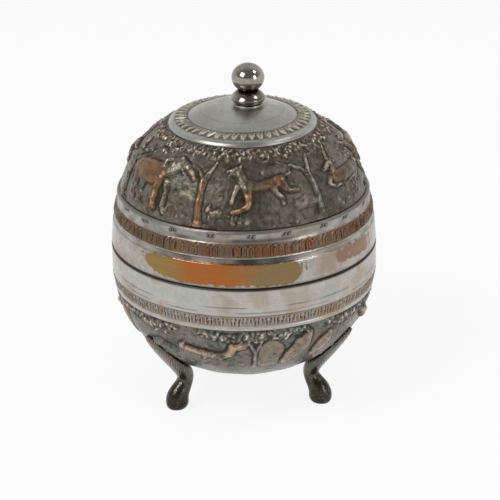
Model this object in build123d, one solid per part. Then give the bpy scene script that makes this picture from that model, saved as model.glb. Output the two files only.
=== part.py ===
from build123d import *
import math
import os

# A round lidded canister of silver-plated copper on three cast cabriole legs.
# Millimetres, +Z up, origin on the floor under the middle of the bowl, front towards -Y.
# Azimuths are in degrees, counted from the front towards +X.

# Bowl
rim_radius = 57.4
bowl_wall = 1.2
bowl_lift = 13.3
bowl_depth = 59.0
bowl_band_height = 12.2
bowl_border_height = 5.2
bowl_border_taper = 1.0
bowl_belt_height = 2.2
bowl_belt_bulge_height = 0.7
bowl_belly_step = 1.1
bowl_belly_centre_rise = 2.5
rim_bevel = 0.5

# Mouth of the bowl and the ring inside it that centres the lid
mouth_ring_height = 3.0
collar_wall = 0.9
collar_rise = 6.0
collar_drop = 6.0
collar_bevel = 0.3
collar_lid_clearance = 0.3
solder_gap = 0.05

# Lid, from its rim upwards
lid_rim_setback = 0.1
lid_wall = 1.2
lid_band_height = 10.7
lid_band_taper = 0.7
lid_groove_height = 2.6
lid_groove_depth = 0.7
lid_border_height = 5.7
lid_border_taper = 1.1
lid_cavetto_height = 2.7
lid_cavetto_run = 0.5
lid_cavetto_sink = 0.4
lid_ridge_height = 2.8
lid_ridge_taper = 0.8
lid_ridge_bulge_height = 0.5
lid_ridge_step = 0.6
lid_flank_rise = 16.3
lid_flank_run = 6.3
lid_flank_bulge_height = 0.5
lid_shoulder_rise = 11.9
lid_shoulder_run = 14.9
lid_shoulder_bulge_height = 0.5
lid_step_rise = 2.2
lid_step_run = 2.5
lid_step_bulge_height = 0.5
lid_leaf_rise = 1.1
lid_leaf_run = 6.3
lid_disc_rise = 4.7
lid_disc_bulge_height = 0.5
lid_flat_radius = 10.2

# Knob, its flange, and what holds them through the lid
knob_off_centre = 2.5
knob_seat_radius = 6.4
knob_seat_rise = 0.7
knob_flange_radius = 7.4
knob_flange_foot_radius = 5.8
knob_flange_height = 5.6
knob_flange_widest = 2.5
knob_flange_bulge_height = 0.35
knob_neck_radius = 4.2
knob_neck_height = 0.6
knob_radius = 7.0
knob_half_height = 6.2
ball_spans = 6
stud_radius = 1.9
stud_clearance = 0.1
stud_end = 1.2
washer_radius = 5.5
washer_thickness = 1.0
nut_across_flats = 7.0
nut_height = 3.0

# Legs
leg_azimuths = {"leg_left": -54.0, "leg_right": 62.0, "leg_back": 184.0}
ankle_setback = 26.0
foot_splay = 5.8
foot_thickness = 10.2
foot_width = 9.6
knee_rise = 13.0
knee_thickness = 7.8
knee_width = 13.2
strap_foot_rise = 7.5
strap_tip_rise = 31.0
strap_foot_width = 10.0
strap_width = 15.0
strap_thickness = 1.9
leg_seat_gap = 0.05

# Sections of a leg's free part, from the floor up to the bowl's lowest level:
# share of that height, how far the centre leans from the ankle towards the foot,
# share of the foot's thickness along the radius, share of its width across it
free_leg_sections = [
    (0.00, 0.97, 0.63, 0.63),
    (0.06, 0.99, 0.86, 0.85),
    (0.21, 1.00, 1.00, 1.00),
    (0.41, 0.96, 1.00, 0.98),
    (0.62, 0.70, 0.90, 0.86),
    (0.83, 0.22, 0.66, 0.70),
    (1.00, 0.00, 0.62, 0.73),
]
# Sections of the knee, above the bowl's lowest level:
# share of the knee's rise, how far the centre leans from the ankle to the bowl's side,
# share of the knee's thickness, share of its width
knee_sections = [
    (0.19, 0.10, 0.90, 0.72),
    (0.42, 0.42, 1.00, 0.91),
    (0.69, 0.74, 0.92, 1.00),
    (1.00, 1.00, 0.62, 0.92),
]

quarter_turn = 90.0

# Levels and radii that follow from the sizes above
bowl_bottom = bowl_lift
seam = bowl_bottom + bowl_depth
border_top = seam - bowl_band_height
belt_top = border_top - bowl_border_height
belly_top = belt_top - bowl_belt_height
belt_radius = rim_radius - bowl_border_taper
belly_radius = belt_radius - bowl_belly_step
belly_centre = belly_top + bowl_belly_centre_rise
belly_half_height = belly_centre - bowl_bottom
belly_widest = belly_radius / math.sqrt(1 - (bowl_belly_centre_rise / belly_half_height) ** 2)

lid_rim_radius = rim_radius - lid_rim_setback
lid_band_radius = lid_rim_radius - lid_band_taper
lid_taper_rate = lid_band_taper / lid_band_height
collar_radius = (lid_rim_radius - lid_wall - lid_taper_rate * collar_rise) - collar_lid_clearance
mouth_radius = collar_radius + solder_gap

ankle_radius = rim_radius - ankle_setback
foot_radius = ankle_radius + foot_splay


def turned(outline):
    """Solid made by turning a closed outline of (radius, height) round the Z axis."""
    return revolve(Plane.XZ * make_face(outline), Axis.Z)


def ring(inner_radius, outer_radius, low, high):
    """Plain ring with a rectangular section."""
    corners = [(inner_radius, low), (outer_radius, low), (outer_radius, high), (inner_radius, high)]
    return turned(Polyline(*corners, close=True))


def belly_radius_at(level):
    """Outer radius of the bowl's belly at a level below its belt."""
    share = (belly_centre - level) / belly_half_height
    return belly_widest * math.sqrt(1 - share**2)


def belly_curve(growth):
    """Quarter outline of the belly, from its lowest point to the belt's foot, grown outwards."""
    half_height = belly_half_height + growth
    upper_angle = math.degrees(math.asin(bowl_belly_centre_rise / half_height))
    return EllipticalCenterArc(
        (0, belly_centre),
        belly_widest + growth,
        half_height,
        start_angle=-quarter_turn,
        arc_size=quarter_turn - upper_angle,
    )


def belly_solid(growth):
    """The belly as a full solid, grown outwards by an amount, or inwards if it is negative."""
    curve = belly_curve(growth)
    return turned(Curve() + [curve, Polyline(curve @ 1, (0, belly_top), curve @ 0)])


def make_bowl():
    """The raised lower shell, with its belt and its thickened mouth."""
    outer = belly_curve(0)
    inner = belly_curve(-bowl_wall)
    section = Curve() + [
        outer,
        SagittaArc(outer @ 1, (belt_radius, belt_top), -bowl_belt_bulge_height),
        Polyline(
            (belt_radius, belt_top),
            (rim_radius, border_top),
            (rim_radius, seam - rim_bevel),
            (rim_radius - rim_bevel, seam),
            (mouth_radius, seam),
            (mouth_radius, seam - mouth_ring_height),
            (rim_radius - bowl_wall, seam - mouth_ring_height),
            (rim_radius - bowl_wall, border_top),
            inner @ 1,
        ),
        inner,
        Line(inner @ 0, outer @ 0),
    ]
    return turned(section)


def make_collar():
    """The ring that stands in the bowl's mouth and up into the lid."""
    inner_radius = collar_radius - collar_wall
    top = seam + collar_rise
    outline = Polyline(
        (inner_radius, seam - collar_drop),
        (collar_radius, seam - collar_drop),
        (collar_radius, top - collar_bevel),
        (collar_radius - collar_bevel, top),
        (inner_radius, top),
        close=True,
    )
    return turned(outline)


def lid_levels():
    """Radius and level of each break in the lid's outer outline, from the rim to the disc."""
    breaks = {}
    radius = lid_band_radius
    level = seam + lid_band_height
    breaks["band"] = (radius, level)
    radius -= lid_groove_depth
    breaks["groove"] = (radius, level)
    level += lid_groove_height
    breaks["groove_top"] = (radius, level)
    level += lid_border_height
    radius -= lid_border_taper
    breaks["border"] = (radius, level)
    level += lid_cavetto_height
    radius -= lid_cavetto_run
    breaks["cavetto"] = (radius, level)
    level += lid_ridge_height
    radius -= lid_ridge_taper
    breaks["ridge"] = (radius, level)
    radius -= lid_ridge_step
    breaks["dome"] = (radius, level)
    radius -= lid_flank_run
    level += lid_flank_rise
    breaks["shoulder"] = (radius, level)
    radius -= lid_shoulder_run
    level += lid_shoulder_rise
    breaks["step"] = (radius, level)
    radius -= lid_step_run
    level += lid_step_rise
    breaks["leaf"] = (radius, level)
    radius -= lid_leaf_run
    level += lid_leaf_rise
    breaks["disc"] = (radius, level)
    level += lid_disc_rise
    breaks["top"] = (lid_flat_radius, level)
    return breaks


lid_breaks = lid_levels()
lid_top = lid_breaks["top"][1]
knob_seat = lid_top + knob_seat_rise
lid_ceiling = lid_top - lid_wall


def make_lid():
    """The raised upper shell, hollow from below, with a flat seat for the knob."""
    at = lid_breaks
    outline = Curve() + [
        Polyline(
            (0, seam),
            (lid_rim_radius - rim_bevel, seam),
            (lid_rim_radius, seam + rim_bevel),
            at["band"],
            at["groove"],
            at["groove_top"],
            at["border"],
        ),
        SagittaArc(at["border"], at["cavetto"], lid_cavetto_sink),
        SagittaArc(at["cavetto"], at["ridge"], -lid_ridge_bulge_height),
        Line(at["ridge"], at["dome"]),
        SagittaArc(at["dome"], at["shoulder"], -lid_flank_bulge_height),
        SagittaArc(at["shoulder"], at["step"], -lid_shoulder_bulge_height),
        SagittaArc(at["step"], at["leaf"], -lid_step_bulge_height),
        Line(at["leaf"], at["disc"]),
        SagittaArc(at["disc"], at["top"], -lid_disc_bulge_height),
        Polyline(at["top"], (0, lid_top), (0, seam)),
    ]
    outside = turned(outline)

    inner_dome = (at["dome"][0] - lid_wall, at["dome"][1])
    inner_shoulder = (at["shoulder"][0] - lid_wall, at["shoulder"][1] - lid_wall)
    inner_step = (at["step"][0] - lid_wall, at["step"][1] - lid_wall)
    hollow_outline = Curve() + [
        Polyline(
            (0, seam),
            (lid_rim_radius - lid_wall, seam),
            (at["band"][0] - lid_wall, at["band"][1] - lid_wall),
            (at["groove"][0] - lid_wall, at["groove"][1]),
            (at["border"][0] - lid_wall - lid_cavetto_sink, at["border"][1]),
            inner_dome,
        ),
        SagittaArc(inner_dome, inner_shoulder, -lid_flank_bulge_height),
        SagittaArc(inner_shoulder, inner_step, -lid_shoulder_bulge_height),
        Polyline(
            inner_step,
            (at["leaf"][0], at["leaf"][1] - lid_wall),
            (at["disc"][0], at["disc"][1] - lid_wall),
            (lid_flat_radius, lid_ceiling),
            (0, lid_ceiling),
            (0, seam),
        ),
    ]
    hollow = turned(hollow_outline)

    seat = Pos(knob_off_centre, 0, 0) * ring(0, knob_seat_radius, lid_ceiling, knob_seat)
    stud_hole = Pos(knob_off_centre, 0, 0) * ring(0, stud_radius + stud_clearance, seam, knob_seat)
    return outside - hollow + seat - stud_hole


def make_knob_base():
    """The turned flange between the lid and the knob, drilled for the stud."""
    widest = knob_seat + knob_flange_widest
    top = knob_seat + knob_flange_height
    hole = stud_radius + stud_clearance
    outline = Curve() + [
        Line((hole, knob_seat), (knob_flange_foot_radius, knob_seat)),
        Line((knob_flange_foot_radius, knob_seat), (knob_flange_radius, widest)),
        SagittaArc((knob_flange_radius, widest), (knob_neck_radius, top), -knob_flange_bulge_height),
        Polyline((knob_neck_radius, top), (hole, top), (hole, knob_seat)),
    ]
    return Pos(knob_off_centre, 0, 0) * turned(outline)


def make_knob():
    """The turned ball with its neck and its stud, in one piece."""
    neck_foot = knob_seat + knob_flange_height
    neck_top = neck_foot + knob_neck_height
    neck_share = knob_neck_radius / knob_radius
    ball_centre = neck_top + knob_half_height * math.sqrt(1 - neck_share**2)
    lower_angle = -math.acos(neck_share)
    top_angle = math.radians(quarter_turn)
    angles = [lower_angle + (top_angle - lower_angle) * i / ball_spans for i in range(ball_spans + 1)]
    points = [
        (knob_radius * math.cos(angle), ball_centre + knob_half_height * math.sin(angle))
        for angle in angles
    ]
    start_way = (-knob_radius * math.sin(lower_angle), knob_half_height * math.cos(lower_angle))
    ball_curve = Spline(*points, tangents=[start_way, (-1, 0)])
    stud_foot = lid_ceiling - washer_thickness - nut_height - stud_end
    stud_and_neck = Polyline(
        ball_curve @ 1,
        (0, stud_foot),
        (stud_radius, stud_foot),
        (stud_radius, neck_foot),
        (knob_neck_radius, neck_foot),
        ball_curve @ 0,
    )
    return Pos(knob_off_centre, 0, 0) * turned(Curve() + [ball_curve, stud_and_neck])


def make_washer():
    """The washer inside the lid."""
    hole = stud_radius + stud_clearance
    body = ring(hole, washer_radius, lid_ceiling - washer_thickness, lid_ceiling)
    return Pos(knob_off_centre, 0, 0) * body


def make_nut():
    """The square nut inside the lid."""
    top = lid_ceiling - washer_thickness
    block = Pos(0, 0, top - nut_height / 2) * Box(nut_across_flats, nut_across_flats, nut_height)
    hole = ring(0, stud_radius + stud_clearance, top - nut_height, top)
    return Pos(knob_off_centre, 0, 0) * (block - hole)


def strap_outline():
    """Leaf shape of the strap, seen along the radius: across it, and up."""
    foot = bowl_bottom + strap_foot_rise
    tip = bowl_bottom + strap_tip_rise
    middle = (foot + tip) / 2
    half_foot = strap_foot_width / 2
    half_width = strap_width / 2
    return Curve() + [
        Line((-half_foot, foot), (half_foot, foot)),
        ThreePointArc((half_foot, foot), (half_width, middle), (0, tip)),
        ThreePointArc((0, tip), (-half_width, middle), (-half_foot, foot)),
    ]


def make_leg():
    """One cast leg on the +X side: strap, knee, ankle and pad foot."""
    sections = []
    for share, out, thick, wide in free_leg_sections:
        place = Pos(ankle_radius + out * foot_splay, 0, share * bowl_lift)
        sections.append(place * Ellipse(thick * foot_thickness / 2, wide * foot_width / 2))
    knee_top = bowl_bottom + knee_rise
    reach = belly_radius_at(knee_top) - ankle_radius
    for share, out, thick, wide in knee_sections:
        place = Pos(ankle_radius + out * reach, 0, bowl_bottom + share * knee_rise)
        sections.append(place * Ellipse(thick * knee_thickness / 2, wide * knee_width / 2))
    stem = loft(sections)

    strap_face = Plane.YZ * make_face(strap_outline())
    prism = extrude(strap_face, rim_radius)
    hugging_shell = belly_solid(leg_seat_gap + strap_thickness)
    strap = hugging_shell & prism
    return stem + strap - belly_solid(leg_seat_gap)


def placed_legs():
    """The same casting at each leg's azimuth, by node name."""
    casting = make_leg()
    turns = {name: azimuth - quarter_turn for name, azimuth in leg_azimuths.items()}
    return {name: Rot(0, 0, turn) * casting for name, turn in turns.items()}


pieces = {
    "bowl": make_bowl(),
    "collar": make_collar(),
    "lid": make_lid(),
    "knob_base": make_knob_base(),
    "knob": make_knob(),
    "knob_washer": make_washer(),
    "knob_nut": make_nut(),
    **placed_legs(),
}

os.makedirs("parts", exist_ok=True)
for name, piece in pieces.items():
    export_step(piece, f"parts/{name}.step")
    print(name, round(piece.volume, 1), "mm3")
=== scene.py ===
import math
import random

import bmesh
import bpy
import numpy as np
from mathutils import Matrix, Vector


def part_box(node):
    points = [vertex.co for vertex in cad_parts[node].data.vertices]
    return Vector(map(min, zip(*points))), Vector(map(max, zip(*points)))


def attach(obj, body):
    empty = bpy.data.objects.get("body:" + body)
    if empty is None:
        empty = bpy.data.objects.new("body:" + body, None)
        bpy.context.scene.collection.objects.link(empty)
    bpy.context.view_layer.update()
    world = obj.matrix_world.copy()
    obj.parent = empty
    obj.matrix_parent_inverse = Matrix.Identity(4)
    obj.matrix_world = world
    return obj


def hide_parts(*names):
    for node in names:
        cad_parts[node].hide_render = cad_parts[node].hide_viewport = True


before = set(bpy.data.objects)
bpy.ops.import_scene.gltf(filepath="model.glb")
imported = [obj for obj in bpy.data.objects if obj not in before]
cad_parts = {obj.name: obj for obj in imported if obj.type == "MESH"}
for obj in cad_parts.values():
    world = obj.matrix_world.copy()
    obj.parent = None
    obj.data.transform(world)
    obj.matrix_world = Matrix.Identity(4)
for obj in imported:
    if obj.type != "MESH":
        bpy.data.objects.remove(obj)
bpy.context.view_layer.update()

# A round lidded canister of worn silver plate over copper, on three dark cast legs.
# Outlines are in millimetres above or below the seam between bowl and lid, azimuths in
# degrees from the front, growing towards +X. Meshes are in metres.

mm = 0.001
fullTurn = 2 * math.pi
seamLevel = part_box("lid")[0].z
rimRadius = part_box("bowl")[1].x / mm
bowlBottom = (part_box("bowl")[0].z - seamLevel) / mm
lidTop = (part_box("lid")[1].z - seamLevel) / mm
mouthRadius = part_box("collar")[1].x / mm + 0.05
knobAxis = (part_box("knob")[0].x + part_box("knob")[1].x) / 2 / mm


# Outlines of the turned shells

lidShape = {
    "rimRadius": 57.3,
    "rimRoll": 0.9,
    "wall": 1.2,
    "bandHeight": 10.7,
    "bandTaper": 0.7,
    "grooveDepth": 0.7,
    "grooveHeight": 2.6,
    "borderHeight": 5.7,
    "borderTaper": 1.1,
    "cavettoHeight": 2.7,
    "cavettoRun": 0.5,
    "cavettoSink": 0.4,
    "ridgeHeight": 2.8,
    "ridgeTaper": 0.8,
    "ridgeBulge": 0.5,
    "ridgeStep": 0.6,
    "ridgeTop": 23.2,
    "flankRise": 16.3,
    "flankRun": 6.3,
    "flankBulge": 0.5,
    "shoulderRise": 11.9,
    "shoulderRun": 14.9,
    "shoulderBulge": 0.5,
    "stepRise": 2.2,
    "stepRun": 2.5,
    "stepBulge": 0.5,
    "leafRise": 1.1,
    "leafRun": 6.3,
    "discRise": 4.7,
    "discBulge": 0.5,
    "flatRadius": 10.2,
    "seatRadius": 6.4,
    "seatRise": 0.7,
}

bowlShape = {
    "wall": 1.2,
    "rimRoll": 0.9,
    "bandHeight": 12.2,
    "borderHeight": 5.2,
    "borderTaper": 1.0,
    "beltHeight": 2.2,
    "beltBulge": 0.7,
    "bellyStep": 1.1,
    "bellyCentreRise": 2.5,
    "mouthHeight": 3.0,
    "baseRadius": 22.0,
}


def lidBreaks(shape):
    # radius and level where each part of the lid's outline ends
    levels = {}
    radius = shape["rimRadius"] - shape["bandTaper"]
    level = shape["bandHeight"]
    levels["band"] = (radius, level)
    radius -= shape["grooveDepth"]
    levels["groove"] = (radius, level)
    level += shape["grooveHeight"]
    levels["grooveTop"] = (radius, level)
    for name, rise, run in (
        ("border", "borderHeight", "borderTaper"),
        ("cavetto", "cavettoHeight", "cavettoRun"),
        ("ridge", "ridgeHeight", "ridgeTaper"),
        ("dome", None, "ridgeStep"),
        ("shoulder", "flankRise", "flankRun"),
        ("step", "shoulderRise", "shoulderRun"),
        ("leaf", "stepRise", "stepRun"),
        ("disc", "leafRise", "leafRun"),
    ):
        level += shape[rise] if rise else 0
        radius -= shape[run]
        levels[name] = (radius, level)
    return levels


lidAt = lidBreaks(lidShape)
bellyTop = -(bowlShape["bandHeight"] + bowlShape["borderHeight"] + bowlShape["beltHeight"])
beltRadius = rimRadius - bowlShape["borderTaper"]
bellyRadius = beltRadius - bowlShape["bellyStep"]
bellyCentre = bellyTop + bowlShape["bellyCentreRise"]
bellyDepth = bellyCentre - bowlBottom
topAngle = -math.degrees(math.asin(bowlShape["bellyCentreRise"] / bellyDepth))
bellyWidest = bellyRadius / math.cos(math.radians(topAngle))
baseAngle = -math.degrees(math.acos(bowlShape["baseRadius"] / bellyWidest))


def arcPoints(start, end, bulge, count):
    # points of a circle's arc from start to end, bulging to the right of the way
    startAt, endAt = np.array(start, float), np.array(end, float)
    chord = endAt - startAt
    half = np.linalg.norm(chord) / 2
    radius = (half * half + bulge * bulge) / (2 * abs(bulge))
    side = np.array([chord[1], -chord[0]]) / (2 * half) * math.copysign(1, bulge)
    centre = (startAt + endAt) / 2 - side * (radius - abs(bulge))
    first = math.atan2(*(startAt - centre)[::-1])
    sweep = math.atan2(*(endAt - centre)[::-1]) - first
    sweep = (sweep + math.pi) % fullTurn - math.pi
    angles = first + sweep * np.linspace(0, 1, count)
    return [(centre[0] + radius * math.cos(a), centre[1] + radius * math.sin(a)) for a in angles]


def ellipsePoints(wide, deep, fromAngle, toAngle, count):
    angles = np.radians(np.linspace(fromAngle, toAngle, count))
    return [(wide * math.cos(a), bellyCentre + deep * math.sin(a)) for a in angles]


def linePoints(start, end, spacing):
    pieces = max(1, round(math.dist(start, end) / spacing))
    shares = [i / pieces for i in range(pieces + 1)]
    return [tuple(start[k] + (end[k] - start[k]) * share for k in (0, 1)) for share in shares]


def joined(*runs):
    # runs of points end to end, each shared end kept once
    out = list(runs[0])
    for run in runs[1:]:
        out += run[1:]
    return out


def finishMesh(name, bm):
    mesh = bpy.data.meshes.new(name)
    bm.to_mesh(mesh)
    bm.free()
    mesh.polygons.foreach_set("use_smooth", [True] * len(mesh.polygons))
    piece = bpy.data.objects.new(name, mesh)
    bpy.context.scene.collection.objects.link(piece)
    return piece


def turnSection(name, skin, inner, steps):
    # turns a section round the axis: skin is its outer line upwards, inner the way back;
    # a short spin is doubled until it closes, which is far quicker than one full spin
    doublings = 4
    wedge = fullTurn / 2**doublings
    bm = bmesh.new()
    row = bm.verts.layers.int.new("row")
    verts = []
    for i, (radius, level) in enumerate(list(skin) + list(inner)):
        v = bm.verts.new((0, -radius * mm, seamLevel + level * mm))
        v[row] = i + 1 if i < len(skin) else 0
        verts.append(v)
    pairs = list(zip(verts, verts[1:])) + [(verts[-1], verts[0])]
    edges = [bm.edges.new(pair) for pair in pairs if pair[0].co.y or pair[1].co.y]
    bmesh.ops.spin(bm, geom=verts + edges, axis=(0, 0, 1), angle=wedge, steps=steps // 2**doublings)
    for i in range(doublings):
        copied = bmesh.ops.duplicate(bm, geom=bm.verts[:] + bm.edges[:] + bm.faces[:])["geom"]
        moved = [item for item in copied if isinstance(item, bmesh.types.BMVert)]
        bmesh.ops.rotate(bm, cent=(0, 0, 0), matrix=Matrix.Rotation(wedge * 2**i, 3, "Z"), verts=moved)
    joints = [v for v in bm.verts if v.is_boundary or v.co.xy.length < 1e-6]
    bmesh.ops.remove_doubles(bm, verts=joints, dist=2e-6)
    bmesh.ops.recalc_face_normals(bm, faces=bm.faces[:])
    return finishMesh(name, bm)


def claim(piece, body, node, material):
    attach(piece, body)
    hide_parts(node)
    piece.data.materials.append(material)


# Relief: heights in millimetres on a grid of the skin's rows and the spin's steps

def newRelief(piece, skin, steps, seed):
    mesh = piece.data
    place = np.zeros(len(mesh.vertices) * 3, np.float32)
    mesh.vertices.foreach_get("co", place)
    place = place.reshape(-1, 3).astype(float)
    row = np.zeros(len(mesh.vertices), np.int32)
    mesh.attributes["row"].data.foreach_get("value", row)
    mesh.attributes.remove(mesh.attributes["row"])
    inSkin = np.nonzero((row > 0) & (np.hypot(place[:, 0], place[:, 1]) > 1e-5))[0]
    angle = np.arctan2(place[inSkin, 0], -place[inSkin, 1])
    column = np.round(angle / fullTurn * steps).astype(int) % steps
    vertexAt = np.full((len(skin), steps), -1)
    vertexAt[row[inSkin] - 1, column] = inSkin
    line = np.array(skin)
    way = np.gradient(line, axis=0)
    way /= np.linalg.norm(way, axis=1)[:, None]
    along = np.concatenate([[0], np.cumsum(np.linalg.norm(np.diff(line, axis=0), axis=1))])
    turn = np.linspace(0, fullTurn, steps, endpoint=False)[None, :]
    # a slight waver in every line, as a hammer and punch leave it
    rng = np.random.default_rng(seed)
    waver = np.zeros((2, len(skin), steps))
    for i in range(14):
        phase = turn * rng.integers(8, 95) + along[:, None] * rng.uniform(-0.9, 0.9)
        waver[i % 2] += np.sin(phase + rng.uniform(0, 6)) * 0.055
    blank = {key: np.zeros((len(skin), steps)) for key in ("height", "copper", "bright", "dark")}
    return {
        "piece": piece,
        "vertexAt": vertexAt,
        "place": place,
        "steps": steps,
        "radius": np.maximum(line[:, 0], 0.5),
        "level": line[:, 1],
        "along": along,
        "outR": way[:, 1],
        "outZ": -way[:, 0],
        "turn": turn,
        "azimuth": np.degrees((turn + math.pi) % fullTurn - math.pi) + np.zeros((len(skin), 1)),
        "waver": waver,
        **blank,
    }


# how a pressed figure meets the ground, what lies under it and the chased line round it
pressing = {
    "margin": 1.2,
    "underneath": 0.35,
    "buried": 0.6,
    "lineAt": 0.15,
    "lineWide": 0.42,
    "lineDirt": 2.2,
    "dirtLeft": 0.2,
    "edge": 0.4,
}


def figureBox(relief, azimuth, level, paths):
    # grid cells round a figure, with their x and y on the surface from its middle
    x, y, wide = (np.array([point[k] for path in paths for point in path]) for k in range(3))
    reach = wide.max() + pressing["margin"]
    base = np.interp(level, relief["level"], relief["along"])
    first, last = np.searchsorted(relief["along"], (base + y.min() - reach, base + y.max() + reach))
    radius = relief["radius"][first:last, None]
    cell = fullTurn / relief["steps"]
    centre = math.radians(azimuth)
    left = math.floor((centre + (x.min() - reach) / radius.min()) / cell)
    right = math.ceil((centre + (x.max() + reach) / radius.min()) / cell)
    columns = np.arange(left, min(right, left + relief["steps"] - 1) + 1)
    box = np.ix_(np.arange(first, last), columns % relief["steps"])
    across = (columns * cell - centre) * radius + relief["waver"][0][box]
    up = relief["along"][first:last, None] - base + relief["waver"][1][box]
    return box, across, up


def press(relief, strokes, azimuth, level, facing=1, size=1.0, lift=1.0, chase=0.1):
    # raises one figure whose strokes melt into each other, with a chased line round it
    paths = [[(facing * x * size, y * size, w * size) for x, y, w in mark["path"]] for mark in strokes]
    box, across, up = figureBox(relief, azimuth, level, paths)
    swell, weight, copper, bright = (np.zeros(across.shape) for _ in range(4))
    outside = np.full(across.shape, 9.0)
    for mark, path in zip(strokes, paths):
        for (xA, yA, wideA), (xB, yB, wideB) in zip(path, path[1:]):
            runX, runY = xB - xA, yB - yA
            share = ((across - xA) * runX + (up - yA) * runY) / (runX * runX + runY * runY + 1e-9)
            share = np.clip(share, 0, 1)
            distance = np.hypot(across - xA - share * runX, up - yA - share * runY)
            wide = wideA + (wideB - wideA) * share
            rise = np.clip(1 - (distance / wide) ** 2, 0, None) ** mark["round"]
            swell += (rise * mark["height"]) ** 4
            weight += rise
            copper += rise * mark["copper"]
            bright += rise * mark["bright"]
            outside = np.minimum(outside, distance - wide)
    inside = outside < 0
    height = relief["height"][box]
    under = np.clip(height, 0, None)
    raised = np.maximum(swell**0.25 * lift + under * pressing["underneath"], under * pressing["buried"])
    line = np.exp(-(((outside - pressing["lineAt"]) / pressing["lineWide"]) ** 2))
    relief["height"][box] = np.where(inside, raised, height) - chase * line
    kept = relief["dark"][box] * np.where(inside, pressing["dirtLeft"], 1)
    relief["dark"][box] = np.maximum(kept, line * chase * pressing["lineDirt"])
    share = np.clip(-outside / pressing["edge"], 0, 1)
    for key, total in (("copper", copper), ("bright", bright)):
        mean = total / np.maximum(weight, 1e-6)
        relief[key][box] += (mean - relief[key][box]) * share


def stroke(height, *path, copper=0.0, bright=0.0, rounding=0.85):
    # a ridge along points of (x, y, half width); bright sets the painted highlight its crest takes, with
    # rubbed wear
    return {"height": height, "path": path, "copper": copper, "bright": bright, "round": rounding}


def leafClump(relief, rng, azimuth, level, wide, tall, count, lift=0.6, copper=0.3, length=1.3):
    # a clump of small embossed leaves over a dark hollow
    strokes = []
    box, across, up = figureBox(relief, azimuth, level, [[(-wide, -tall, 0.5), (wide, tall, 0.5)]])
    hollow = np.clip(1.5 - np.hypot(across / wide, up / tall), 0, 1)
    hollow *= np.clip(1 - relief["height"][box] / 0.3, 0, 1)
    relief["dark"][box] = np.maximum(relief["dark"][box], hollow * 0.9)
    for _ in range(count):
        x = rng.uniform(-1, 1)
        y = rng.uniform(-1, 1) * math.sqrt(max(0.05, 1 - x * x * 0.8))
        turn = math.atan2(y + 0.5, x) + rng.uniform(-0.9, 0.9)
        reach = length * rng.uniform(0.6, 1.3)
        foot = (x * wide, y * tall, rng.uniform(0.3, 0.52) * length)
        tip = (foot[0] + reach * math.cos(turn), foot[1] + reach * math.sin(turn), 0.24)
        rise, worn, lit = lift * rng.uniform(0.6, 1.15), copper * rng.uniform(0, 2), rng.uniform(0.8, 3.2)
        strokes.append(stroke(rise, foot, tip, copper=worn, bright=lit, rounding=0.7))
    press(relief, strokes, azimuth, level, chase=0.07)


def grassTuft(relief, rng, azimuth, level, blades, tall, lift=0.35, bright=0.6):
    strokes = []
    for i in range(blades):
        lean = (i / max(1, blades - 1) - 0.5) * 1.5 + rng.uniform(-0.15, 0.15)
        reach = tall * rng.uniform(0.7, 1.1)
        foot = (lean * 0.8, 0, 0.36)
        tip = (lean * 0.8 + reach * math.sin(lean) * 0.6, reach * math.cos(lean * 0.8), 0.18)
        strokes.append(stroke(lift, foot, tip, copper=rng.uniform(0, 0.5), bright=bright))
    press(relief, strokes, azimuth, level, chase=0.06)


def cloudy(relief, seed, turns, pitch, count=9):
    # soft clouds over the grid, about -1 to 1, closed round the axis
    rng = np.random.default_rng(seed)
    total = np.zeros(relief["height"].shape)
    for _ in range(count):
        phase = relief["turn"] * rng.integers(turns // 3, turns) + rng.uniform(0, 6)
        total += np.sin(phase + relief["along"][:, None] * rng.uniform(-pitch, pitch))
    return total / math.sqrt(count)


def matGround(relief, seed, depth):
    # small punch marks all over, deepest on the ground between the figures
    turns, pitch, waves = 330, 5.0, 12
    marks = cloudy(relief, seed, turns, pitch, waves) * depth
    relief["height"] += marks * np.clip(1 - relief["height"], 0.2, 1)


def blurred(values, rounds):
    for _ in range(rounds):
        values = (np.roll(values, 1, 1) + np.roll(values, -1, 1) + 2 * values) / 4
        padded = np.pad(values, ((1, 1), (0, 0)), "edge")
        values = (padded[:-2] + padded[2:] + 2 * values) / 4
    return values


def stampRelief(relief, soften=1, fade=0.0):
    # moves the skin out by its height and keeps the masks for the material
    mesh = relief["piece"].data
    along = relief["along"]
    height = blurred(relief["height"], soften)
    if fade:
        height *= np.clip(np.minimum(along, along[-1] - along) / fade, 0, 1)[:, None]
    used = relief["vertexAt"] >= 0
    inSkin = relief["vertexAt"][used]
    outwards = height * relief["outR"][:, None]
    upwards = height * relief["outZ"][:, None]
    moves = (outwards * np.sin(relief["turn"]), -outwards * np.cos(relief["turn"]), upwards)
    for axis, move in enumerate(moves):
        relief["place"][inSkin, axis] += move[used] * mm
    mesh.vertices.foreach_set("co", relief["place"].astype(np.float32).ravel())
    crest = np.clip((height - blurred(height, 9)) / 0.22, -1, 1)
    masks = {"crest": crest, **{key: relief[key] for key in ("copper", "bright", "dark")}}
    for name, values in masks.items():
        full = np.zeros(len(mesh.vertices), np.float32)
        full[inSkin] = values[used]
        mesh.attributes.new(name, "FLOAT", "POINT").data.foreach_set("value", full)
    mesh.update()


# Node helpers

def newMaterial(name):
    material = bpy.data.materials.new(name)
    material.use_nodes = True
    tree = material.node_tree
    return material, tree, tree.nodes["Principled BSDF"]


def addNode(tree, kind, inputs=None, **settings):
    node = tree.nodes.new(kind)
    for key, value in settings.items():
        setattr(node, key, value)
    for key, value in (inputs or {}).items():
        socket = node.inputs[key]
        if isinstance(value, bpy.types.NodeSocket):
            tree.links.new(value, socket)
        else:
            socket.default_value = value
    return node


def maths(tree, operation, a, b=0.0, c=0.0):
    return addNode(tree, "ShaderNodeMath", {0: a, 1: b, 2: c}, operation=operation).outputs[0]


def times(tree, a, b):
    return maths(tree, "MULTIPLY", a, b)


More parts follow.
